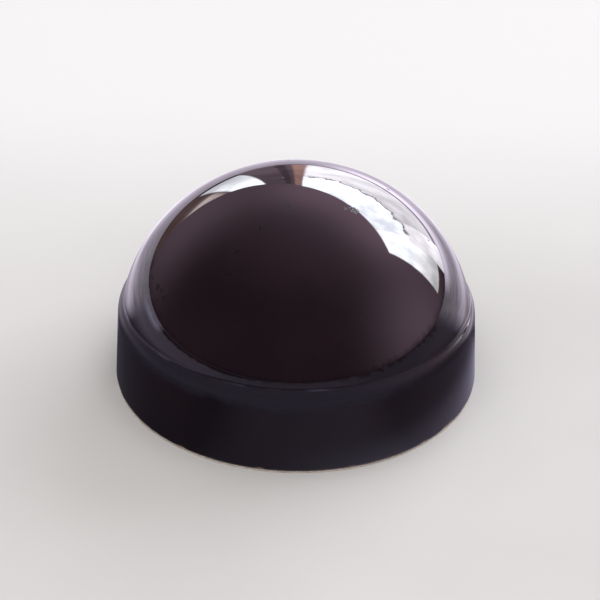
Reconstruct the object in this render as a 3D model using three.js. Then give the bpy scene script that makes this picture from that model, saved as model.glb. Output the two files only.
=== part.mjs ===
// A domed cake of bow rosin: one glossy casting, a dome on a low drum, standing on a thin disc of card.
// Millimetres, +Z up. The origin is the centre of the flat underside, where the cake stands on a table.
import * as THREE from 'three';

// Backing disc: a round of card under the casting.
const DISC_RADIUS = 24.9;
const DISC_THICKNESS = 0.25;

// Drum: the wall leans in a little towards the top, so that the casting leaves its mould.
const FOOT_RADIUS = 25; // the wall's radius, carried down to the casting's underside
const FOOT_ROUND = 0.4; // radius of the edge between underside and wall
const WALL_DRAFT = THREE.MathUtils.degToRad(3.5);
const SHOULDER_ROUND = 2.6; // radius of the convex round at the top of the wall
const SHOULDER_HEIGHT = 9.9; // height of that round's centre

// Dome: the upper part of an ellipse centred inside the drum. A tight concave crease parts it from the shoulder.
const DOME_RADIUS = 24.25;
const DOME_CENTRE_HEIGHT = 6.7;
const OVERALL_HEIGHT = 29.3;
const DOME_RISE = OVERALL_HEIGHT - DOME_CENTRE_HEIGHT;
const CREASE_ROUND = 0.6;

// Fineness of the solids.
const SEGMENTS_ROUND = 80;
const FOOT_STEPS = 3;
const SHOULDER_STEPS = 6;
const CREASE_STEPS = 3;
const DOME_STEPS = 20;

const QUARTER_TURN = Math.PI / 2;
const SOLVER_STEPS = 50;

const rosinLook = new THREE.MeshStandardMaterial({ color: 0x2a1d24, roughness: 0.05, metalness: 0 });
const cardLook = new THREE.MeshStandardMaterial({ color: 0xb3a28e, roughness: 0.9, metalness: 0 });

// The wall's radius at a height above the table.
function wallRadius(height) {
  return FOOT_RADIUS - (height - DISC_THICKNESS) * Math.tan(WALL_DRAFT);
}

// The centre, in the profile plane, of a round of the given radius and height that touches the wall from inside.
function centreInsideWall(round, height) {
  return new THREE.Vector2(wallRadius(height) - round / Math.cos(WALL_DRAFT), height);
}

// The dome's outward normal, in the profile plane, at a parameter of its ellipse.
function domeNormal(parameter) {
  return new THREE.Vector2(Math.cos(parameter) / DOME_RADIUS, Math.sin(parameter) / DOME_RISE).normalize();
}

// A point at a distance outside the dome's ellipse.
function pointOutsideDome(parameter, distance) {
  const onDome = new THREE.Vector2(
    DOME_RADIUS * Math.cos(parameter),
    DOME_CENTRE_HEIGHT + DOME_RISE * Math.sin(parameter),
  );
  return onDome.addScaledVector(domeNormal(parameter), distance);
}

// Where the dome starts: the crease's centre is one crease round outside the ellipse, and the sum of the two
// rounds from the shoulder's centre. Found by halving.
function domeStart(shoulder) {
  let tooLow = 0;
  let tooHigh = QUARTER_TURN / 2;
  for (let step = 0; step < SOLVER_STEPS; step += 1) {
    const middle = (tooLow + tooHigh) / 2;
    const reach = pointOutsideDome(middle, CREASE_ROUND).distanceTo(shoulder);
    if (reach < SHOULDER_ROUND + CREASE_ROUND) tooLow = middle;
    else tooHigh = middle;
  }
  return tooLow;
}

// Points along an arc of a circle or an upright ellipse, in the profile plane.
function arcPoints(centre, radiusAcross, radiusUp, start, end, steps) {
  const clockwise = end < start;
  const curve = new THREE.EllipseCurve(centre.x, centre.y, radiusAcross, radiusUp, start, end, clockwise);
  return curve.getPoints(steps);
}

// The casting's half profile, from the centre of its underside out, up the wall and over the dome to the axis.
function cakeProfile() {
  const foot = centreInsideWall(FOOT_ROUND, DISC_THICKNESS + FOOT_ROUND);
  const shoulder = centreInsideWall(SHOULDER_ROUND, SHOULDER_HEIGHT);
  const start = domeStart(shoulder);
  const crease = pointOutsideDome(start, CREASE_ROUND);
  const shoulderEnd = crease.clone().sub(shoulder).angle();
  const creaseStart = Math.PI + shoulderEnd;
  const creaseEnd = Math.PI + domeNormal(start).angle();
  const domeCentre = new THREE.Vector2(0, DOME_CENTRE_HEIGHT);

  const dome = arcPoints(domeCentre, DOME_RADIUS, DOME_RISE, start, QUARTER_TURN, DOME_STEPS);
  dome[DOME_STEPS].set(0, OVERALL_HEIGHT);
  return [
    new THREE.Vector2(0, DISC_THICKNESS),
    ...arcPoints(foot, FOOT_ROUND, FOOT_ROUND, -QUARTER_TURN, WALL_DRAFT, FOOT_STEPS),
    ...arcPoints(shoulder, SHOULDER_ROUND, SHOULDER_ROUND, WALL_DRAFT, shoulderEnd, SHOULDER_STEPS),
    ...arcPoints(crease, CREASE_ROUND, CREASE_ROUND, creaseStart, creaseEnd, CREASE_STEPS).slice(1),
    ...dome.slice(1),
  ];
}

// A flat round disc's half profile, closed on the axis at both ends.
function discProfile(radius, thickness) {
  return [
    new THREE.Vector2(0, 0),
    new THREE.Vector2(radius, 0),
    new THREE.Vector2(radius, thickness),
    new THREE.Vector2(0, thickness),
  ];
}

// A named solid of revolution about the Z axis.
function turned(name, profile, material) {
  const geometry = new THREE.LatheGeometry(profile, SEGMENTS_ROUND);
  geometry.rotateX(QUARTER_TURN);
  const mesh = new THREE.Mesh(geometry, material);
  mesh.name = name;
  return mesh;
}

const group = new THREE.Group();
group.add(turned('backing_disc', discProfile(DISC_RADIUS, DISC_THICKNESS), cardLook));
group.add(turned('rosin_cake', cakeProfile(), rosinLook));

export default group;
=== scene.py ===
"""A domed cake of bow rosin on a thin card disc, standing on a pale floor. Metres, +Z up.

The casting is one surface of revolution with the small faults of a poured piece: a slow ripple, open bubbles,
an uneven ledge and chips along the foot. The card disc under it is cut by hand, so its edge wanders a little.
"""

import math

import bmesh
import bpy
from mathutils import Matrix, Vector, noise


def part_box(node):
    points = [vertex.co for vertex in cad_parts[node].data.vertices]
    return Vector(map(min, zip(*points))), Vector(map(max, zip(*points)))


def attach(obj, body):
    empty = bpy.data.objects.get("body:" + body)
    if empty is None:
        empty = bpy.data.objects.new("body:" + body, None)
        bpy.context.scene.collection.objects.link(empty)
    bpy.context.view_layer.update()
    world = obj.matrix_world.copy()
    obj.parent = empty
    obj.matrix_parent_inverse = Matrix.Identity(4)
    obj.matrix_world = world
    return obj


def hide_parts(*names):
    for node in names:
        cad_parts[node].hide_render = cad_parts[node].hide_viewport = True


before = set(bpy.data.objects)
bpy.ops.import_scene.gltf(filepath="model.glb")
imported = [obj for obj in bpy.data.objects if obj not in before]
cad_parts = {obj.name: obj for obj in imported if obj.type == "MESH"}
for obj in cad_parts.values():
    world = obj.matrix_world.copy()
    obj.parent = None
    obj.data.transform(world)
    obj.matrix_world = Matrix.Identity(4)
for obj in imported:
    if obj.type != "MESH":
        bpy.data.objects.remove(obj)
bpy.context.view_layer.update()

MM = 0.001
FULL_TURN = 2 * math.pi
QUARTER_TURN = math.pi / 2

# The casting's profile, as in the CAD: its outer sizes come from the frame, its rounds are named here.
CAST_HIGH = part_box("rosin_cake")[1]
DISC_LOW, DISC_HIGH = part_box("backing_disc")
UNDERSIDE = DISC_HIGH.z
TOP = CAST_HIGH.z
FOOT_RADIUS = 25 * MM
FOOT_ROUND = 0.4 * MM
WALL_DRAFT = math.radians(3.5)
SHOULDER_ROUND = 2.6 * MM
SHOULDER_HEIGHT = 9.9 * MM
DOME_RADIUS = 24.25 * MM
DOME_CENTRE = 6.7 * MM
DOME_RISE = TOP - DOME_CENTRE
CREASE_ROUND = 3.0 * MM  # softer than the CAD's, as the pour left a film in the crease
LARGEST_RADIUS = CAST_HIGH.x

# The mesh's fineness.
MOST_COLUMNS = 512
FEWEST_COLUMNS = 16
WIDEST_FACE = 0.42 * MM
ROW_STEP = 0.32 * MM
FLAT_STEP = 4 * ROW_STEP  # across the underside
SHOULDER_STEP = ROW_STEP / 3
TIGHT_STEP = ROW_STEP / 6  # on the foot's round and in the crease
SOLVER_STEPS = 50


# ---- Casting: the profile ---------------------------------------------------------------------------------


def wall_radius(height):
    """The drafted wall's radius at a height."""
    return FOOT_RADIUS - (height - UNDERSIDE) * math.tan(WALL_DRAFT)


def centre_inside_wall(round_radius, height):
    """The centre, in the profile plane, of a round that touches the wall from inside."""
    return Vector((wall_radius(height) - round_radius / math.cos(WALL_DRAFT), height))


def dome_normal(parameter):
    """The dome's outward normal, in the profile plane, at a parameter of its ellipse."""
    return Vector((math.cos(parameter) / DOME_RADIUS, math.sin(parameter) / DOME_RISE)).normalized()


def outside_dome(parameter, distance):
    """A point at a distance outside the dome's ellipse."""
    on_dome = Vector((DOME_RADIUS * math.cos(parameter), DOME_CENTRE + DOME_RISE * math.sin(parameter)))
    return on_dome + dome_normal(parameter) * distance


def dome_start(shoulder):
    """The ellipse parameter where the crease meets the dome, found by halving."""
    too_low, too_high = 0, QUARTER_TURN / 2
    for _ in range(SOLVER_STEPS):
        middle = (too_low + too_high) / 2
        if (outside_dome(middle, CREASE_ROUND) - shoulder).length < SHOULDER_ROUND + CREASE_ROUND:
            too_low = middle
        else:
            too_high = middle
    return too_low


def direction(vector):
    """The angle of a vector in the profile plane."""
    return math.atan2(vector.y, vector.x)


def arc(centre, across, up, start, end, step):
    """Points on an arc of a circle or an upright ellipse, about one step apart, without the first."""
    count = max(2, math.ceil(abs(end - start) * max(across, up) / step))
    points = []
    for i in range(1, count + 1):
        angle = start + (end - start) * i / count
        points.append(Vector((centre.x + across * math.cos(angle), centre.y + up * math.sin(angle))))
    return points


def straight(start, end, step):
    """Points on a straight stretch, about one step apart, without the first."""
    count = max(1, math.ceil((end - start).length / step))
    return [start.lerp(end, i / count) for i in range(1, count + 1)]


def cake_profile():
    """The casting's half profile from underside to top, without the two points on the axis."""
    foot = centre_inside_wall(FOOT_ROUND, UNDERSIDE + FOOT_ROUND)
    shoulder = centre_inside_wall(SHOULDER_ROUND, SHOULDER_HEIGHT)
    start = dome_start(shoulder)
    crease = outside_dome(start, CREASE_ROUND)
    shoulder_end = direction(crease - shoulder)
    dome_centre = Vector((0, DOME_CENTRE))

    points = straight(Vector((0, UNDERSIDE)), Vector((foot.x, UNDERSIDE)), FLAT_STEP)
    points += arc(foot, FOOT_ROUND, FOOT_ROUND, -QUARTER_TURN, WALL_DRAFT, TIGHT_STEP)
    wall_top = shoulder + SHOULDER_ROUND * Vector((math.cos(WALL_DRAFT), math.sin(WALL_DRAFT)))
    points += straight(points[-1], wall_top, ROW_STEP)
    points += arc(shoulder, SHOULDER_ROUND, SHOULDER_ROUND, WALL_DRAFT, shoulder_end, SHOULDER_STEP)
    points += arc(crease, CREASE_ROUND, CREASE_ROUND, math.pi + shoulder_end,
                  math.pi + direction(dome_normal(start)), TIGHT_STEP)
    points += arc(dome_centre, DOME_RADIUS, DOME_RISE, start, QUARTER_TURN, ROW_STEP)
    return points[:-1]


# ---- Casting: the mesh ------------------------------------------------------------------------------------


def columns_at(radius):
    """Columns in a ring, halved towards the axis, so that faces stay about as wide as they are tall."""
    columns = MOST_COLUMNS
    while columns > FEWEST_COLUMNS and FULL_TURN * radius / columns < WIDEST_FACE / 2:
        columns //= 2
    return columns


def ring(bm, radius, height):
    """A ring of vertices about the axis."""
    count = columns_at(radius)
    angles = [FULL_TURN * i / count for i in range(count)]
    return [bm.verts.new((radius * math.cos(a), radius * math.sin(a), height)) for a in angles]


def stitch(bm, low, high):
    """Faces between two rings, whose counts may differ by a power of two."""
    if len(low) == len(high):
        for i in range(len(low)):
            j = (i + 1) % len(low)
            bm.faces.new((low[i], low[j], high[j], high[i]))
        return
    big, small = (low, high) if len(low) > len(high) else (high, low)
    half = len(big) // len(small) // 2
    for s, apex in enumerate(small):
        middle = 2 * half * s
        triangles = [(big[b % len(big)], big[(b + 1) % len(big)], apex)
                     for b in range(middle - half, middle + half)]
        triangles.append((big[(middle + half) % len(big)], small[(s + 1) % len(small)], apex))
        for triangle in triangles:
            bm.faces.new(triangle if big is low else triangle[::-1])


def cap(bm, edge, height, upward):
    """Closes a ring with a fan about a vertex on the axis."""
    centre = bm.verts.new((0, 0, height))
    for i in range(len(edge)):
        j = (i + 1) % len(edge)
        bm.faces.new((edge[i], edge[j], centre) if upward else (edge[j], edge[i], centre))


def turned(profile, low_height, high_height):
    """A closed surface of revolution from a half profile whose ends are near the axis."""
    bm = bmesh.new()
    rings = [ring(bm, point.x, point.y) for point in profile]
    for low, high in zip(rings, rings[1:]):
        stitch(bm, low, high)
    cap(bm, rings[0], low_height, upward=False)
    cap(bm, rings[-1], high_height, upward=True)
    bm.normal_update()
    return bm


# ---- Casting: its small faults ----------------------------------------------------------------------------

# Open bubbles in the dome: where they are about the axis (degrees from +X), height, radius and depth in mm.
BUBBLES = (
    (259, 28.5, 0.46, 0.012),
    (254, 28.7, 0.24, 0.008),
    (242, 27.1, 0.34, 0.010),
    (325, 27.7, 0.50, 0.016),
    (321, 28.0, 0.32, 0.010),
    (237, 25.1, 0.32, 0.010),
    (239, 23.1, 0.22, 0.010),
    (203, 18.7, 0.34, 0.014),
    (209, 18.5, 0.46, 0.016),
    (212, 18.6, 0.34, 0.012),
    (215, 18.2, 0.38, 0.014),
    (212, 17.4, 0.20, 0.012),
    (20, 25.9, 0.24, 0.012),
    (61, 21.5, 0.30, 0.016),
    (98, 27.4, 0.20, 0.010),
    (155, 29.2, 0.16, 0.008),
    (350, 22.3, 0.18, 0.010),
)
BUBBLE_CUTS = 3
BUBBLE_RAGGED, BUBBLE_NOTCH = 1.1, 0.22 * MM  # how uneven a rim is, and the size of its notches
BUBBLE_WIDEST = 0.6  # the least that the noise scales a distance by, which limits how far a rim wanders out

RIPPLE_LONG, RIPPLE_LONG_DEPTH = 8 * MM, 0.007 * MM
RIPPLE_SHORT, RIPPLE_SHORT_DEPTH = 2.6 * MM, 0.0012 * MM
LEDGE_HEIGHT, LEDGE_REACH, LEDGE_DEPTH, LEDGE_WAVE = 11.9 * MM, 0.6 * MM, 0.06 * MM, 6 * MM
CHIP_SPACING, CHIP_DEPTH, CHIP_REACH, CHIP_GRAIN = 3.2 * MM, 0.12 * MM, 0.55 * MM, 0.35 * MM
CHIP_START, CHIP_RISE = 0.20, 0.26  # the noise at which a chip starts, and how much more makes it full


def on_dome(azimuth, height):
    """The point of the dome at an azimuth and a height."""
    radius = DOME_RADIUS * math.sqrt(1 - ((height - DOME_CENTRE) / DOME_RISE) ** 2)
    return Vector((radius * math.cos(azimuth), radius * math.sin(azimuth), height))


def to_dome(point):
    """A point near the dome, moved onto its ellipsoid by one Newton step."""
    scale = Vector((DOME_RADIUS, DOME_RADIUS, DOME_RISE))
    local = point - Vector((0, 0, DOME_CENTRE))
    value = sum((local[i] / scale[i]) ** 2 for i in range(3)) - 1
    gradient = Vector(2 * local[i] / scale[i] ** 2 for i in range(3))
    return point - gradient * (value / gradient.length_squared)


def bubbles():
    """The open bubbles as (place, radius, depth) in metres."""
    return [(on_dome(math.radians(azimuth), height * MM), radius * MM, depth * MM)
            for azimuth, height, radius, depth in BUBBLES]


def refine(bm, places):
    """Divides the faces at each bubble and puts the new points on the dome."""
    for centre, radius, _ in places:
        near = 1.5 * radius + WIDEST_FACE / 2
        faces = [f for f in bm.faces if (f.calc_center_median() - centre).length < near]
        edges = {edge for face in faces for edge in face.edges}
        made = bmesh.ops.subdivide_edges(bm, edges=list(edges), cuts=BUBBLE_CUTS, use_grid_fill=True)
        for item in made["geom_inner"]:
            if isinstance(item, bmesh.types.BMVert):
                item.co = to_dome(item.co)
    bm.normal_update()


def bump(distance, reach):
    """A smooth hump: 1 at no distance, 0 at its reach and beyond."""
    return max(0.0, 1 - (distance / reach) ** 2) ** 2


def ripple(point):
    """How deep the casting's slow ripple lies at a point."""
    long_wave = noise.noise(point / RIPPLE_LONG) * RIPPLE_LONG_DEPTH
    short_wave = noise.noise(point / RIPPLE_SHORT + Vector((7, 3, 5))) * RIPPLE_SHORT_DEPTH
    return long_wave + short_wave + RIPPLE_LONG_DEPTH + RIPPLE_SHORT_DEPTH


def ledge(point):
    """How much deeper the crease is at a point, where the pour left it uneven."""
    around = Vector((point.x, point.y, 0)) / LEDGE_WAVE
    uneven = 0.5 + 0.5 * noise.noise(around)
    return LEDGE_DEPTH * uneven * bump(point.z - LEDGE_HEIGHT, LEDGE_REACH)


def chip(point):
    """How chipped the foot's edge is at a point, from 0 to 1."""
    around = Vector((point.x, point.y, 0)) / CHIP_SPACING
    where = max(0.0, noise.noise(around + Vector((2, 9, 4))) - CHIP_START) / CHIP_RISE
    rough = 1 + 0.5 * noise.noise(point / CHIP_GRAIN)
    return min(1.0, where) * rough * bump(point.z - UNDERSIDE, CHIP_REACH)


def wear(bm, places):
    """Pushes the surface in by its faults and notes where it is broken."""
    broken = bm.verts.layers.float.new("broken")
    pitted = bm.verts.layers.float.new("pitted")
    depths = []
    for vertex in bm.verts:
        point = vertex.co
        depth = 0.0
        if point.z > UNDERSIDE + FOOT_ROUND / 2:
            depth = ripple(point) + ledge(point)
        chipped = chip(point) if point.xy.length > LARGEST_RADIUS - 2 * FOOT_ROUND else 0.0
        depth += chipped * CHIP_DEPTH
        vertex[broken] = chipped
        uneven = max(BUBBLE_WIDEST, 1 + BUBBLE_RAGGED * noise.noise(point / BUBBLE_NOTCH))
        for centre, radius, deep in places:
            hollow = bump((point - centre).length * uneven, radius)
            depth += deep * hollow
            vertex[pitted] = max(vertex[pitted], hollow)
        depths.append(depth)
    for vertex, depth in zip(bm.verts, depths):
        vertex.co -= vertex.normal * depth
        vertex.co.z = max(vertex.co.z, UNDERSIDE)


# ---- Card disc --------------------------------------------------------------------------------------------

CARD_EDGE_ROUND = 0.04 * MM
CARD_FLAT_STEP, CARD_WALL_STEP = 1.2 * MM, 0.06 * MM
CARD_CUT_DEPTH = 0.06 * MM
CARD_CUT_FROM = 0.9  # the share of the radius that the uneven cut leaves alone
CARD_CUT_WAVE, CARD_FIBRE = 5 * MM, 0.4 * MM


def card_profile():
    """The disc's half profile, from its underside out, round the cut edge and in over its top."""
    outer = DISC_HIGH.x
    low, high = DISC_LOW.z, DISC_HIGH.z
    inner = outer - CARD_EDGE_ROUND
    points = straight(Vector((0, low)), Vector((inner, low)), CARD_FLAT_STEP)
    points += arc(Vector((inner, low + CARD_EDGE_ROUND)), CARD_EDGE_ROUND, CARD_EDGE_ROUND,
                  -QUARTER_TURN, 0, CARD_EDGE_ROUND / 3)
    points += straight(points[-1], Vector((outer, high - CARD_EDGE_ROUND)), CARD_WALL_STEP)
    points += arc(Vector((inner, high - CARD_EDGE_ROUND)), CARD_EDGE_ROUND, CARD_EDGE_ROUND,
                  0, QUARTER_TURN, CARD_EDGE_ROUND / 3)
    points += straight(points[-1], Vector((0, high)), CARD_FLAT_STEP)
    return points[:-1]


def trim(bm):
    """Moves the disc's edge in a little, unevenly, as scissors or a punch leave it."""
    for vertex in bm.verts:
        reach = vertex.co.xy.length
        share = max(0.0, reach / DISC_HIGH.x - CARD_CUT_FROM) / (1 - CARD_CUT_FROM)
        slow = 0.5 + 0.5 * noise.noise(vertex.co / CARD_CUT_WAVE)
        fibre = 0.5 + 0.5 * noise.noise(vertex.co / CARD_FIBRE)
        shrink = share * CARD_CUT_DEPTH * (0.7 * slow + 0.3 * fibre) / max(reach, MM)
        vertex.co.x *= 1 - shrink
        vertex.co.y *= 1 - shrink


# ---- Materials --------------------------------------------------------------------------------------------


class Nodes:
    """A node tree, with short calls for making and joining its nodes."""

    def __init__(self, owner):
        owner.use_nodes = True
        self.owner = owner
        self.tree = owner.node_tree
        self.tree.nodes.clear()

    def add(self, kind, settings=None, **inputs):
        """A new node. Its settings are attributes, and its inputs are sockets with _ for a space."""
        node = self.tree.nodes.new("ShaderNode" + kind)
        for key, value in (settings or {}).items():
            setattr(node, key, value)
        for key, value in inputs.items():
            self.set(node.inputs[key.replace("_", " ")], value)
        return node

    def set(self, socket, value):
        """Joins an input to another node's output, or gives it a plain value."""
        if isinstance(value, bpy.types.NodeSocket):
            self.tree.links.new(value, socket)
        else:
            socket.default_value = value

    def place(self):
        return self.add("TexCoord").outputs["Object"]

    def attribute(self, name):
        return self.add("Attribute", {"attribute_name": name}).outputs["Fac"]

    def noise(self, vector, scale, detail=2.0, roughness=0.5):
        made = self.add("TexNoise", Vector=vector, Scale=scale, Detail=detail, Roughness=roughness)
        return made.outputs["Fac"]

    def wander(self, vector, scale, detail, roughness=0.5):
        """A noise that reaches about as far below zero as above it."""
        return self.math("SUBTRACT", self.noise(vector, scale, detail, roughness), 0.5)

    def ramp(self, value, low, high, to_low=0.0, to_high=1.0):
        """A smooth step from one number to another as the value passes from the low limit to the high one."""
        made = self.add("MapRange", {"interpolation_type": "SMOOTHSTEP"}, Value=value)
        for index, number in enumerate((low, high, to_low, to_high), start=1):
            made.inputs[index].default_value = number
        return made.outputs["Result"]

    def between(self, value, limits, edge):
        """1 between two limits and 0 outside them, with a soft step at each."""
        low, high = limits
        rising = self.ramp(value, low - edge, low + edge)
        falling = self.ramp(value, high - edge, high + edge, 1.0, 0.0)
        return self.times(rising, falling)

    def math(self, operation, first, second=0.0):
        made = self.add("Math", {"operation": operation})
        self.set(made.inputs[0], first)
        self.set(made.inputs[1], second)
        return made.outputs["Value"]

    def chain(self, operation, values):
        """One operation over several values, from left to right."""
        result = values[0]
        for value in values[1:]:
            result = self.math(operation, result, value)
        return result

    def times(self, *values):
        return self.chain("MULTIPLY", values)

    def plus(self, *values):
        return self.chain("ADD", values)

    def most(self, *values):
        return self.chain("MAXIMUM", values)

    def mix(self, share, first, second):
        """A share of the second colour in the first."""
        made = self.add("Mix", {"data_type": "RGBA"})
        colour_a, colour_b, colour_result = 6, 7, 2  # the node has other sockets of the same names
        self.set(made.inputs["Factor"], share)
        self.set(made.inputs[colour_a], first)
        self.set(made.inputs[colour_b], second)
        return made.outputs[colour_result]

    def scaled(self, colour, strength):
        made = self.add("VectorMath", {"operation": "SCALE"}, Scale=strength)
        self.set(made.inputs[0], colour)
        return made.outputs["Vector"]

    def along(self, vector, direction):
        """How far a vector reaches in a direction."""
        made = self.add("VectorMath", {"operation": "DOT_PRODUCT"})
        self.set(made.inputs[0], vector)
        self.set(made.inputs[1], direction)
        return made.outputs["Value"]

    def bump(self, relief, strength, depth):
        return self.add("Bump", Height=relief, Strength=strength, Distance=depth).outputs["Normal"]

    def finish(self, shader, output="OutputMaterial"):
        """Joins the shader to the output and gives back the material or world."""
        self.tree.links.new(shader.outputs[0], self.add(output).inputs["Surface"])
        return self.owner


def new_material(name):
    return Nodes(bpy.data.materials.new(name))


PER_MM = 1 / MM  # a texture scale of 1 per millimetre


def flecks(n, place, scale, channel, share, fade):
    """Small round flecks in some cells of a fine pattern. A channel of the cells' colours picks which."""
    cells = n.add("TexVoronoi", Vector=place, Scale=scale)
    pick = n.add("SeparateColor", Color=cells.outputs["Color"]).outputs[channel]
    return n.times(n.ramp(cells.outputs["Distance"], *fade, 1.0, 0.0), n.math("LESS_THAN", pick, share))


ROSIN_IOR = 1.54
ROSIN_DEEP = (0.0056, 0.0028, 0.0044, 1)
ROSIN_CLEAR = (0.0092, 0.0042, 0.0062, 1)
DUST_AND_SHEEN_COLOUR = (0.0180, 0.0155, 0.0250, 1)
CREASE_HIGHLIGHT_COLOUR = (0.050, 0.052, 0.082, 1)
GRAIN_DUST = (0.34, 0.31, 0.31, 1)
BROKEN_ROSIN = (0.38, 0.28, 0.22, 1)
GLOSS, SMEARED = 0.022, 0.055
WALL_ROUGH, FILM_ROUGH, GRAIN_ROUGH, PIT_ROUGH, BREAK_ROUGH = 0.15, 0.34, 0.55, 0.55, 0.42
SHINE, PIT_SHINE, FILM_LOSS = 0.5, 0.20, 0.7
WALL_FADE = (7.0 * MM, 10.0 * MM)  # the heights between which the wall's dullness gives way to gloss

# The fineness of the textures, and how deep the bumps are.
CLOUD_SCALE, SMEAR_SCALE = 0.09 * PER_MM, 0.16 * PER_MM
SKIN_SCALE, SKIN_RELIEF, FRACTURE_SCALE = 1.7 * PER_MM, 0.05, 5 * PER_MM
ROSIN_BUMP, ROSIN_BUMP_DEPTH = 0.35, 0.02 * MM
GRAIN_SCALE, GRAIN_SHARE, GRAIN_FADE = 0.85 * PER_MM, 0.018, (0.06, 0.11)

# The film of dust: its lower edge wanders, its upper one lies in the crease, and it is thickest on one side.
# Its pale bluish colour on the front-left is painted sheen, a painted reflection; the dust itself dulls the
# gloss.
FILM_LOW, FILM_WANDER, FILM_FADE = 7.4 * MM, 2.6 * MM, 1.7 * MM
FILM_TOP = (11.8 * MM, 12.15 * MM)
FILM_EDGE_SCALE = 0.22 * PER_MM
DUST_AND_SHEEN_SIDE = Vector((-0.64, -0.77, 0))
DULL_FROM, SHEEN_FROM = (-11 * MM, -2 * MM), (-8 * MM, 14 * MM)
# The painted highlight in the crease: the heights it lies between, its soft edge, and how finely it breaks
# up.
HIGHLIGHT_BAND, HIGHLIGHT_EDGE = (11.825 * MM, 12.225 * MM), 0.125 * MM
HIGHLIGHT_SCALE = 0.13 * PER_MM


def shoulder_film(n, place, height):
    """The film of dust on the shoulder: how far its pale bluish painted sheen covers it, and how far the dust
    dulls the gloss.
    """
    low_edge = n.plus(FILM_LOW, n.times(n.noise(place, FILM_EDGE_SCALE, detail=4), FILM_WANDER))
    above = n.ramp(n.math("SUBTRACT", height, low_edge), 0.0, FILM_FADE)
    covered = n.times(above, n.ramp(height, *FILM_TOP, 1.0, 0.0))
    toward_dust = n.along(place, DUST_AND_SHEEN_SIDE)
    pale = n.times(covered, n.ramp(toward_dust, *SHEEN_FROM))
    dull = n.times(covered, n.ramp(toward_dust, *DULL_FROM))
    return pale, dull


def painted_highlight_line(n, place, height, dull):
    """A broken pale blue line in the crease: a painted highlight."""
    broken_up = n.ramp(n.noise(place, HIGHLIGHT_SCALE, detail=3), 0.50, 0.60)
    return n.times(n.between(height, HIGHLIGHT_BAND, HIGHLIGHT_EDGE), broken_up, dull)


def rosin_material():
    """Near-black plum resin: a glassy dome, a duller wall, dust with painted sheen on the shoulder, a painted
    highlight in the crease, pits darkened as painted shade, pale breaks.
    """
    n = new_material("rosin_gloss")
    place = n.place()
    height = n.add("SeparateXYZ", Vector=place).outputs["Z"]
    dust_and_sheen, dull = shoulder_film(n, place, height)
    crease_highlight = painted_highlight_line(n, place, height, dull)
    grain = flecks(n, place, GRAIN_SCALE, "Red", GRAIN_SHARE, GRAIN_FADE)
    pitted = n.ramp(n.attribute("pitted"), 0.01, 0.15)
    broken = n.ramp(n.attribute("broken"), 0.15, 0.6)

    cloud = n.ramp(n.noise(place, CLOUD_SCALE, detail=3), 0.35, 0.68)
    body = n.mix(cloud, ROSIN_DEEP, ROSIN_CLEAR)
    # Painted sheen: the shoulder's pale bluish colour, laid on the film of dust.
    body = n.mix(dust_and_sheen, body, DUST_AND_SHEEN_COLOUR)
    # Painted highlight: a broken pale blue line in the crease.
    body = n.mix(crease_highlight, body, CREASE_HIGHLIGHT_COLOUR)
    body = n.mix(n.times(grain, 0.8), body, GRAIN_DUST)
    # Painted shade: the pits are darkened towards the body's deepest tone.
    body = n.mix(n.times(pitted, 0.6), body, ROSIN_DEEP)
    body = n.mix(broken, body, BROKEN_ROSIN)

    smear = n.noise(place, SMEAR_SCALE, detail=5, roughness=0.6)
    rough = n.most(
        n.ramp(smear, 0.45, 0.75, GLOSS, SMEARED),
        n.ramp(height, *WALL_FADE, WALL_ROUGH, 0.0),
        n.times(dull, FILM_ROUGH),
        n.times(grain, GRAIN_ROUGH),
        n.times(pitted, PIT_ROUGH),
        n.times(broken, BREAK_ROUGH),
    )
    skin = n.times(n.noise(place, SKIN_SCALE, detail=3), SKIN_RELIEF)
    fracture = n.times(n.noise(place, FRACTURE_SCALE), broken)
    shine_left = n.math("SUBTRACT", 1.0, n.times(dull, FILM_LOSS))
    shader = n.add(
        "BsdfPrincipled",
        Base_Color=body,
        Roughness=rough,
        IOR=ROSIN_IOR,
        Specular_IOR_Level=n.times(n.ramp(pitted, 0.0, 1.0, SHINE, PIT_SHINE), shine_left),
        Normal=n.bump(n.plus(skin, grain, fracture), ROSIN_BUMP, ROSIN_BUMP_DEPTH),
    )
    return n.finish(shader)


CARD_PALE = (0.70, 0.63, 0.57, 1)
CARD_DARK = (0.46, 0.39, 0.33, 1)
CARD_STAIN = (0.20, 0.14, 0.11, 1)
FIBRE_SCALE = 4.0 * PER_MM
FIBRE_STRETCH = (0.22, 1.0, 2.0)  # along a fibre, across it and through the card
CARD_BUMP, CARD_BUMP_DEPTH = 0.6, 0.03 * MM
FLECK_SCALE, FLECK_SHARE, FLECK_FADE = 1.1 * PER_MM, 0.12, (0.08, 0.2)
STAIN_SCALE = 0.12 * PER_MM


def card_fibres(n, place):
    """Fibres matted in two directions across the card."""
    along, across, through = FIBRE_STRETCH
    first = n.add("Mapping", Vector=place, Scale=(across, along, through)).outputs["Vector"]
    second = n.add("Mapping", Vector=place, Scale=(along, across, through)).outputs["Vector"]
    return n.times(n.noise(first, FIBRE_SCALE, detail=4), n.noise(second, FIBRE_SCALE, detail=4))


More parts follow.
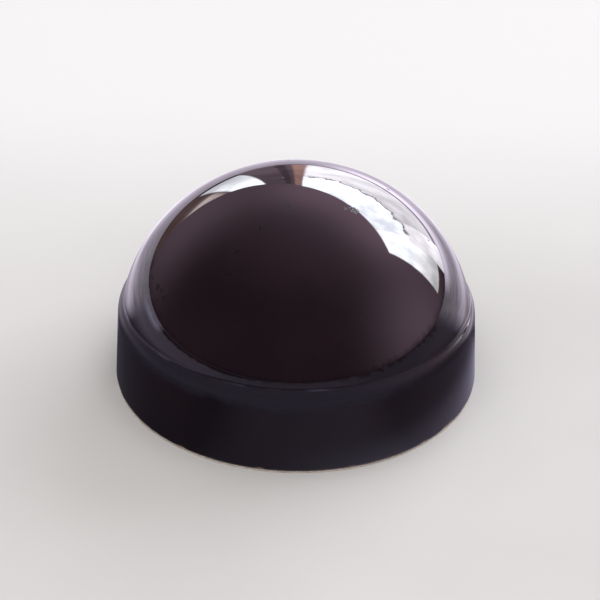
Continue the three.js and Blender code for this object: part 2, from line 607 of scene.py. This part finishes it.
def card_material():
    """Uncoated pale grey-brown card: matted fibres, dark flecks and a stain where rosin dust worked in."""
    n = new_material("card_fibre")
    place = n.place()
    fibres = card_fibres(n, place)
    fleck = flecks(n, place, FLECK_SCALE, "Green", FLECK_SHARE, FLECK_FADE)
    stain = n.ramp(n.noise(place, STAIN_SCALE, detail=3), 0.5, 0.72)
    colour = n.mix(n.ramp(fibres, 0.16, 0.36), CARD_DARK, CARD_PALE)
    colour = n.mix(n.times(fleck, 0.7), colour, CARD_STAIN)
    colour = n.mix(n.times(stain, 0.35), colour, CARD_STAIN)
    rough = n.ramp(fibres, 0.1, 0.4, 0.93, 0.78)
    bumped = n.bump(fibres, CARD_BUMP, CARD_BUMP_DEPTH)
    return n.finish(n.add("BsdfPrincipled", Base_Color=colour, Roughness=rough, Normal=bumped))


FLOOR_DARK, FLOOR_PALE = (0.69, 0.68, 0.68, 1), (0.73, 0.72, 0.72, 1)
FLOOR_PAINTED_LIGHT = (0.87, 0.87, 0.88, 1)
PAINTED_LIGHT_FROM_TO = (10 * MM, 90 * MM)
MOTTLE_SCALE = 0.02 * PER_MM


def floor_material():
    """A plain pale floor, barely mottled, with painted light making it a little paler behind the cake."""
    n = new_material("floor_pale")
    place = n.place()
    mottle = n.noise(place, MOTTLE_SCALE, detail=3)
    colour = n.mix(n.ramp(mottle, 0.3, 0.7), FLOOR_DARK, FLOOR_PALE)
    # Painted light: the floor grows paler away from the camera, behind the cake.
    colour = n.mix(n.ramp(n.along(place, (0, 1, 0)), *PAINTED_LIGHT_FROM_TO), colour, FLOOR_PAINTED_LIGHT)
    return n.finish(n.add("BsdfPrincipled", Base_Color=colour, Roughness=0.85, Specular_IOR_Level=0.0))


# ---- Pieces -----------------------------------------------------------------------------------------------


def to_piece(bm, name, material, node):
    """Turns a mesh into a smooth-shaded piece that stands for a CAD node."""
    mesh = bpy.data.meshes.new(name)
    bm.to_mesh(mesh)
    bm.free()
    mesh.shade_smooth()
    mesh.materials.append(material)
    piece = bpy.data.objects.new(name, mesh)
    bpy.context.scene.collection.objects.link(piece)
    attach(piece, "root")
    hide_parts(node)
    return piece


def make_cake():
    """The casting, with its ripple, bubbles, ledge and chips."""
    bm = turned(cake_profile(), UNDERSIDE, TOP)
    places = bubbles()
    refine(bm, places)
    wear(bm, places)
    to_piece(bm, "rosin_casting", rosin_material(), "rosin_cake")


def make_disc():
    """The card disc under the casting."""
    bm = turned(card_profile(), DISC_LOW.z, DISC_HIGH.z)
    trim(bm)
    to_piece(bm, "card_disc", card_material(), "backing_disc")


# ---- Studio -----------------------------------------------------------------------------------------------

FLOOR_HALF = 4.0
CAMERA_ELEVATION = math.radians(30.5)
CAMERA_DISTANCE = 0.245
CAMERA_ROLL = math.radians(-0.9)
LENS, SENSOR = 108.3, 36.0
LOOK_HEIGHT = 0.51 * TOP
AIM_LOWER, AIM_RIGHT = 3.47 * MM, 0.45 * MM


def flat_square(name, half, height, material):
    """A level square about the axis that belongs to the stage."""
    mesh = bpy.data.meshes.new(name)
    corners = [(x * half, y * half, height) for x, y in ((-1, -1), (1, -1), (1, 1), (-1, 1))]
    mesh.from_pydata(corners, [], [(0, 1, 2, 3)])
    mesh.materials.append(material)
    square = bpy.data.objects.new(name, mesh)
    bpy.context.scene.collection.objects.link(square)
    return square


def make_floor():
    """The floor under the cake, which isn't part of it."""
    flat_square("floor", FLOOR_HALF, DISC_LOW.z, floor_material())


def make_camera():
    """A long lens in front of the cake, looking down on it and aimed a little below its middle."""
    data = bpy.data.cameras.new("camera")
    data.lens, data.sensor_width = LENS, SENSOR
    data.clip_start, data.clip_end = 0.01, 12.0
    back = Vector((0, -math.cos(CAMERA_ELEVATION), math.sin(CAMERA_ELEVATION)))
    place = Vector((0, 0, LOOK_HEIGHT)) + back * CAMERA_DISTANCE
    up = Vector((0, math.sin(CAMERA_ELEVATION), math.cos(CAMERA_ELEVATION)))
    target = Vector((0, 0, LOOK_HEIGHT)) - up * AIM_LOWER + Vector((AIM_RIGHT, 0, 0))
    camera = bpy.data.objects.new("camera", data)
    turn = (target - place).to_track_quat("-Z", "Y").to_matrix().to_4x4()
    camera.matrix_world = Matrix.Translation(place) @ turn @ Matrix.Rotation(-CAMERA_ROLL, 4, "Z")
    bpy.context.scene.collection.objects.link(camera)
    bpy.context.scene.camera = camera


def bearing(azimuth, elevation=0):
    """The direction at an azimuth and an elevation in degrees: 0 is behind the cake and 90 to its right."""
    around, rise = math.radians(azimuth), math.radians(elevation)
    return Vector((math.sin(around) * math.cos(rise), math.cos(around) * math.cos(rise), math.sin(rise)))


def place_light(light, place, back):
    """Puts a light at a place, facing away from a direction. The camera and the reflections don't see it."""
    light.matrix_world = Matrix.Translation(place) @ back.to_track_quat("Z", "Y").to_matrix().to_4x4()
    light.visible_camera = False
    light.visible_glossy = False
    bpy.context.scene.collection.objects.link(light)


def area_light(name, width, height, radiance, tint):
    """A rectangular light of the given radiance."""
    data = bpy.data.lights.new(name, "AREA")
    data.shape = "RECTANGLE"
    data.size, data.size_y = width, height
    data.energy = radiance * math.pi * width * height
    data.color = tint
    return bpy.data.objects.new(name, data)


WINDOW_BEARING = 42
WINDOW_AWAY, WINDOW_HEIGHT, WINDOW_SIZE, WINDOW_RADIANCE = 1.6, 0.9, (2.0, 1.1), 3.0
FILL_PLACE, FILL_BACK = Vector((0, -0.5, 1.5)), Vector((0, -0.3, 1))
FILL_SIZE, FILL_RADIANCE = (1.8, 1.8), 0.98


def make_lights():
    """Soft daylight from behind on the right and a soft fill overhead. The gloss doesn't reflect them."""
    window = area_light("window_light", *WINDOW_SIZE, WINDOW_RADIANCE, (1.0, 1.0, 1.05))
    place = bearing(WINDOW_BEARING) * WINDOW_AWAY + Vector((0, 0, WINDOW_HEIGHT))
    place_light(window, place, place)
    fill = area_light("fill", *FILL_SIZE, FILL_RADIANCE, (1.0, 0.97, 0.95))
    place_light(fill, FILL_PLACE, FILL_BACK)


# The room that the gloss reflects. Bearings and elevations are in degrees as seen from the cake, and a
# radiance of 1 is display white.
ROOM_BASE = 0.11
# Soft glows: bearing and elevation, how narrow each is, and its radiance.
ROOM_GLOWS = (
    (35, 62, 4, 0.36),
    (10, 42, 18, 0.70),
    (52, 42, 18, 0.85),
    (95, 12, 7, 0.88),
    (-40, 27, 12, 0.42),
    (-62, 12, 20, 0.15),
)
# Window frames, panes and sills: left and right side, lower and upper edge, the radiance at those two edges,
# tint, and the softness of the edges. Later rows cover earlier ones.
PANES = (
    ((-150, -84), (-4, 1), (0.50, 0.50), (0.98, 0.92, 1.24), 0.5),
    ((-84, -60), (-4, 2), (1.20, 1.20), (0.98, 0.92, 1.14), 0.5),
    ((-11, 1.5), (-1, 36), (0.40, 0.50), (1.20, 0.85, 1.05), 0.5),
    ((-4.5, -2.5), (-1, 31), (0.20, 0.30), (1.20, 0.85, 1.05), 0.5),
    ((-1.2, 1.6), (1, 34), (0.85, 1.20), (1.70, 1.0, 0.90), 0.5),
    ((1.6, 50), (-3, 2.5), (0.80, 1.00), (1.06, 0.92, 1.14), 1.0),
    ((1.6, 38), (1.5, 24), (4.2, 6.6), (0.97, 0.93, 1.0), 0.5),
    ((38, 50), (-4, 24), (6.4, 10.0), (0.97, 0.93, 1.0), 0.5),
    ((50, 66), (5, 24), (5.0, 15.0), (0.97, 0.96, 1.0), 0.5),
    ((3, 46), (20.6, 23), (1.8, 1.8), (1.10, 0.95, 1.0), 0.5),
    ((1.6, 48), (22, 44), (12.0, 13.5), (0.95, 0.98, 1.10), 0.5),
    ((48, 66), (22, 44), (14.5, 17.0), (0.95, 0.98, 1.07), 0.5),
    ((-58, -22), (0.5, 9), (0.20, 0.26), (1.60, 1.0, 0.95), 1.0),
    ((-52, -47), (2.5, 10), (0.08, 0.10), (1.20, 1.0, 1.10), 1.5),
    ((-50, -22), (9, 28), (0.50, 0.90), (1.35, 0.95, 0.98), 2.0),
    ((-37, -23), (12.0, 20), (2.9, 2.9), (1.18, 1.0, 0.96), 2.0),
    ((-21.5, -11.5), (2.5, 30), (2.6, 11.5), (0.95, 0.97, 1.04), 0.5),
)
# How far the panes reach up in the plane of the windows' bearing, and how soft that edge is.
LINTEL, LINTEL_EDGE = 41.5, 0.5
# A pane that starts above the first elevation has a skyline for its lower edge. One that ends below the
# second follows an uneven horizon.
SKYLINE_OVER, HORIZON_UNDER = 20, 3
SKYLINE_RISE, HORIZON_RISE = 12.0, 10.0
SKYLINE_SCALE, HAZE_SCALE, HAZE = 19.0, 9.0, (0.84, 1.12)
HORIZON_SHADE = (-2.0, 4.0, 0.36)  # the walls darken between two elevations, to this share
REFLECTED_TINT = (1.24, 0.84, 1.08)
AMBIENT = (0.56, 0.545, 0.535, 1)
BACKDROP = (0.78, 0.775, 0.78, 1)


def degrees(n, angle):
    """An angle in degrees, from one in radians."""
    return n.times(angle, math.degrees(1))


def room_glow(n, facing):
    """The radiance of the walls and the ceiling: dim, and brighter round the windows."""
    radiance = ROOM_BASE
    for azimuth, elevation, narrow, strength in ROOM_GLOWS:
        nearness = n.most(n.along(facing, bearing(azimuth, elevation)), 0.0)
        radiance = n.plus(n.times(n.math("POWER", nearness, narrow), strength), radiance)
    return radiance


def reflected_room(n, facing):
    """The room with its windows under their lintel, a little hazy, with an uneven skyline and horizon."""
    across, away, up = n.add("SeparateXYZ", Vector=facing).outputs
    azimuth = degrees(n, n.math("ARCTAN2", across, away))
    elevation = degrees(n, n.math("ARCSINE", up))
    level = n.add("CombineXYZ", X=across, Y=away).outputs["Vector"]
    uneven = n.wander(level, SKYLINE_SCALE, detail=5, roughness=0.65)
    skyline = n.plus(elevation, n.times(uneven, SKYLINE_RISE))
    horizon = n.plus(elevation, n.times(uneven, HORIZON_RISE))

    shade_from, shade_to, shade = HORIZON_SHADE
    walls = n.times(room_glow(n, facing), n.ramp(horizon, shade_from, shade_to, shade, 1.0))
    colour = n.scaled(REFLECTED_TINT, walls)
    rise = degrees(n, n.math("ARCTAN2", up, n.along(facing, bearing(WINDOW_BEARING))))
    under_lintel = n.ramp(rise, LINTEL - LINTEL_EDGE, LINTEL + LINTEL_EDGE, 1.0, 0.0)
    haze = n.ramp(n.noise(facing, HAZE_SCALE, detail=3), 0.35, 0.65, *HAZE)
    for sides, heights, radiances, tint, edge in PANES:
        low, high = heights
        upright = elevation
        if low > SKYLINE_OVER:
            upright = skyline
        if high < HORIZON_UNDER:
            upright = horizon
        mask = n.times(n.between(azimuth, sides, edge), n.between(upright, heights, edge), under_lintel)
        radiance = n.times(n.ramp(elevation, low, high, *radiances), haze)
        colour = n.mix(mask, colour, n.scaled(tint, radiance))
    return colour


def make_world():
    """A dim room. Only reflections see its windows, and the camera sees a plain pale backdrop instead."""
    world = bpy.data.worlds.new("room")
    bpy.context.scene.world = world
    n = Nodes(world)
    facing = n.add("TexCoord").outputs["Generated"]
    path = n.add("LightPath").outputs
    colour = n.mix(path["Is Glossy Ray"], AMBIENT, reflected_room(n, facing))
    colour = n.mix(path["Is Camera Ray"], colour, BACKDROP)
    n.finish(n.add("Background", Color=colour), "OutputWorld")


REFLECTOR_HALF, REFLECTOR_LIFT = 3.0, 0.03 * MM
LIT_TINT, SHADED_TINT = (1.05, 0.94, 1.14, 1), (0.98, 0.90, 1.24, 1)

# The reflector's radiance. A spread is the two cosines between which a side fades in, and a rise or a fall is
# the two distances from the axis between which something does.
LIT_BEARING, LIT_SPREAD = 3, (0.19, 0.44)
LIT_RISE, LIT_RADIANCES = (32 * MM, 54 * MM), (0.16, 0.98)
FOLD_SCALE, FOLD_RADIANCE = 0.035 * PER_MM, 1.6
RIDGE_RISE, RIDGE_FALL, RIDGE_RADIANCE = (44 * MM, 54 * MM), (60 * MM, 76 * MM), 0.5
GLARE_BEARING, GLARE_SPREAD, GLARE_RISE, GLARE_RADIANCE = 32, (0.86, 0.97), (90 * MM, 380 * MM), 2.6

DIM_RADIANCE = 0.07
RIGHT_BEARING, LEFT_BEARING, SIDE_SPREAD = 115, -95, (0.2, 0.9)
RIGHT_RADIANCE, CLOSE_FALL, CLOSE_RADIANCE = 0.05, (25 * MM, 33 * MM), 0.3
FRONT_BEARING, FRONT_SPREAD, FRONT_RADIANCE = 176, (0.76, 0.97), 0.13
PATCH_BEARING, PATCH_SPREAD, PATCH_RISE = -72, (0.95, 0.985), (130 * MM, 240 * MM)
OPEN_RISE, OPEN_RADIANCE, OPEN_LEFT_RADIANCE = (42 * MM, 92 * MM), 0.12, 0.32
SEEN_FROM = 14 * MM  # the height on the cake from which most of the floor is seen
HORIZON_SLOPES = (0.03, 0.045)  # how steeply down the far edge of the open floor is seen from there
TORN_BEARING, TORN_SPREAD, TORN_SCALE = 135, (0.1, 0.8), 15.0
SMOOTH_FLOOR, TORN_FLOOR = 0.05, 0.3


def toward(n, out, azimuth, spread):
    """1 towards a bearing and 0 away from it."""
    return n.ramp(n.along(out, bearing(azimuth)), *spread)


def lit_floor(n, place, out, distance):
    """The floor's radiance on the windows' side: dim close by, bright beyond, folds, a ridge and glare."""
    plain = n.ramp(distance, *LIT_RISE, *LIT_RADIANCES)
    folds = n.wander(place, FOLD_SCALE, detail=3, roughness=0.6)
    ridge = n.times(n.ramp(distance, *RIDGE_RISE), n.ramp(distance, *RIDGE_FALL, 1.0, 0.0))
    glare = n.times(toward(n, out, GLARE_BEARING, GLARE_SPREAD), n.ramp(distance, *GLARE_RISE))
    return n.plus(
        plain,
        n.times(folds, FOLD_RADIANCE),
        n.times(ridge, RIDGE_RADIANCE),
        n.times(glare, GLARE_RADIANCE),
    )


def open_floor(n, out, distance):
    """1 on the floor beyond the cake's shadow. It ends short of the horizon, raggedly on the right front."""
    ragged = n.ramp(n.along(out, bearing(TORN_BEARING)), *TORN_SPREAD, SMOOTH_FLOOR, TORN_FLOOR)
    slope = n.math("DIVIDE", SEEN_FROM, distance)
    torn = n.plus(slope, n.times(n.wander(out, TORN_SCALE, detail=3), ragged))
    return n.times(n.ramp(distance, *OPEN_RISE), n.ramp(torn, *HORIZON_SLOPES))


def shaded_floor(n, out, distance):
    """The floor's radiance towards the camera: dim, with a pale patch far out on the left."""
    right = toward(n, out, RIGHT_BEARING, SIDE_SPREAD)
    left = toward(n, out, LEFT_BEARING, SIDE_SPREAD)
    front = toward(n, out, FRONT_BEARING, FRONT_SPREAD)
    close_by = n.ramp(distance, *CLOSE_FALL, 1.0, 0.0)
    patch = n.times(toward(n, out, PATCH_BEARING, PATCH_SPREAD), n.ramp(distance, *PATCH_RISE))
    beyond = n.plus(OPEN_RADIANCE, n.times(left, OPEN_LEFT_RADIANCE))
    return n.plus(
        DIM_RADIANCE,
        n.times(right, RIGHT_RADIANCE),
        n.times(front, FRONT_RADIANCE),
        n.times(open_floor(n, out, distance), beyond),
        n.times(close_by, right, CLOSE_RADIANCE),
        patch,
    )


def make_reflector():
    """A glowing card on the floor that only reflections see, in the floor's place: a painted reflection of
    the floor, with painted shadow close to the cake, bright towards the windows.
    """
    n = new_material("reflector_glow")
    place = n.place()
    out = n.add("VectorMath", {"operation": "NORMALIZE"}, Vector=place).outputs["Vector"]
    distance = n.add("VectorMath", {"operation": "LENGTH"}, Vector=place).outputs["Value"]
    lit = toward(n, out, LIT_BEARING, LIT_SPREAD)
    dim, bright = shaded_floor(n, out, distance), lit_floor(n, place, out, distance)
    radiance = n.add("Mix", Factor=lit, A=dim, B=bright).outputs[0]
    material = n.finish(n.add("Emission", Color=n.mix(lit, SHADED_TINT, LIT_TINT), Strength=radiance))
    card = flat_square("reflector", REFLECTOR_HALF, DISC_LOW.z + REFLECTOR_LIFT, material)
    card.visible_camera = False
    card.visible_diffuse = False
    card.visible_shadow = False


make_cake()
make_disc()
make_floor()
make_reflector()
make_camera()
make_lights()
make_world()
bpy.context.scene.view_settings.view_transform = "Standard"
